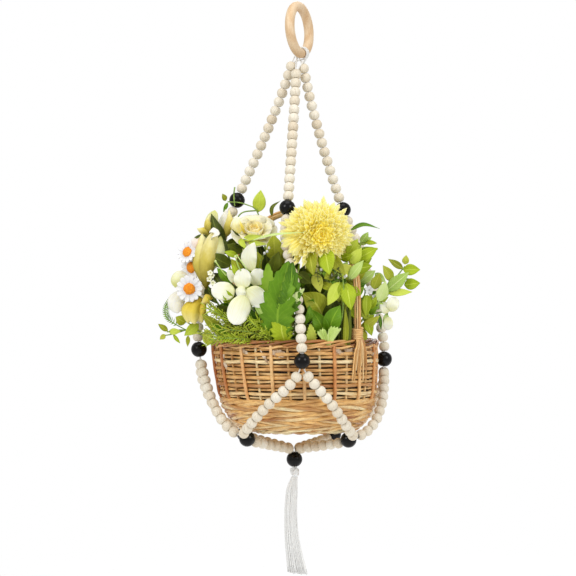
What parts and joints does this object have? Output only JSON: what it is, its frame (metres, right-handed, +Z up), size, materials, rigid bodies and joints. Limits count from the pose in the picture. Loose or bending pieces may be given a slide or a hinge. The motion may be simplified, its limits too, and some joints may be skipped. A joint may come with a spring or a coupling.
{
  "type": "hanging planter",
  "caption": "Hanging planter: a wooden ring, corded wooden beads netted round a wicker handled basket of artificial flowers, and a tassel below.",
  "frame": {"origin": "where a hook touches the top of the ring's hole", "axes": "+Z up, -Y towards the viewer (front), +X to the right"},
  "size_m": [0.3025, 0.239, 0.653],
  "materials": {
    "ring_wood": "smooth unvarnished",
    "natural_bead": "smooth satin",
    "black_bead": "gloss black lacquer",
    "cord": "smooth waxed cotton",
    "tassel_thread": "matte",
    "willow": "matte peeled willow",
    "liner": "translucent",
    "foam": "matte",
    "yellow_petal": "matte",
    "cream_petal": "matte",
    "white_petal": "matte",
    "bud": "matte",
    "leaf": "matte"
  },
  "bodies": {
    "ring": {"ring": "ring_wood"},
    "sling": {"upper_strand_left": "natural_bead", "middle_strand_left": "natural_bead", "upper_black_bead_left": "black_bead", "middle_black_bead_left": "black_bead", "upper_strand_front": "natural_bead", "middle_strand_front": "natural_bead", "upper_black_bead_front": "black_bead", "middle_black_bead_front": "black_bead", "upper_strand_right": "natural_bead", "middle_strand_right": "natural_bead", "upper_black_bead_right": "black_bead", "middle_black_bead_right": "black_bead", "upper_strand_back": "natural_bead", "middle_strand_back": "natural_bead", "upper_black_bead_back": "black_bead", "middle_black_bead_back": "black_bead", "diagonal_left_to_front_left": "natural_bead", "diagonal_front_to_front_left": "natural_bead", "diagonal_front_to_front_right": "natural_bead", "diagonal_right_to_front_right": "natural_bead", "diagonal_right_to_back_right": "natural_bead", "diagonal_back_to_back_right": "natural_bead", "diagonal_back_to_back_left": "natural_bead", "diagonal_left_to_back_left": "natural_bead", "lower_black_bead_front_left": "black_bead", "bottom_strand_front_left": "natural_bead", "lower_black_bead_front_right": "black_bead", "bottom_strand_front_right": "natural_bead", "lower_black_bead_back_right": "black_bead", "bottom_strand_back_right": "natural_bead", "lower_black_bead_back_left": "black_bead", "bottom_strand_back_left": "natural_bead", "bottom_black_bead": "black_bead", "cord_left": "cord", "cord_front": "cord", "cord_right": "cord", "cord_back": "cord"},
    "basket": {"basket_base": "willow", "basket_lower_wale": "willow", "basket_side_weave": "willow", "basket_stakes": "willow", "basket_border": "willow", "basket_handle": "willow", "handle_binding_front": "willow", "handle_binding_back": "willow", "basket_liner": "liner", "flower_foam": "foam", "chrysanthemum": "yellow_petal", "rose": "cream_petal", "white_orchid": "white_petal", "daisies": "white_petal", "tulip_buds": "bud", "broad_leaves": "leaf", "fern_fronds": "leaf", "right_branches": "leaf", "left_branches": "leaf", "back_leaves": "leaf"},
    "tassel_knot": {"tassel_knot": "tassel_thread"},
    "tassel": {"tassel": "tassel_thread"}
  },
  "joints": [
    {"name": "sling_swing", "type": "hinge", "parent": "ring", "child": "sling", "pos_m": [0.00437, 0.00217, -0.04814], "axis": [0.3946, 0.9083, 0.1389], "range_deg": [-40, 40]},
    {"name": "basket_lift", "type": "slide", "parent": "sling", "child": "basket", "axis": [0, 0, 1], "range_m": [0, 0.008]},
    {"name": "knot_swing", "type": "hinge", "parent": "sling", "child": "tassel_knot", "pos_m": [-0.0042, -0.013, -0.5206], "axis": [1, 0, 0], "range_deg": [-25, 25]},
    {"name": "tassel_swing", "type": "hinge", "parent": "tassel_knot", "child": "tassel", "pos_m": [-0.0042, -0.013, -0.5306], "axis": [0, 1, 0], "range_deg": [-30, 30]}
  ]
}
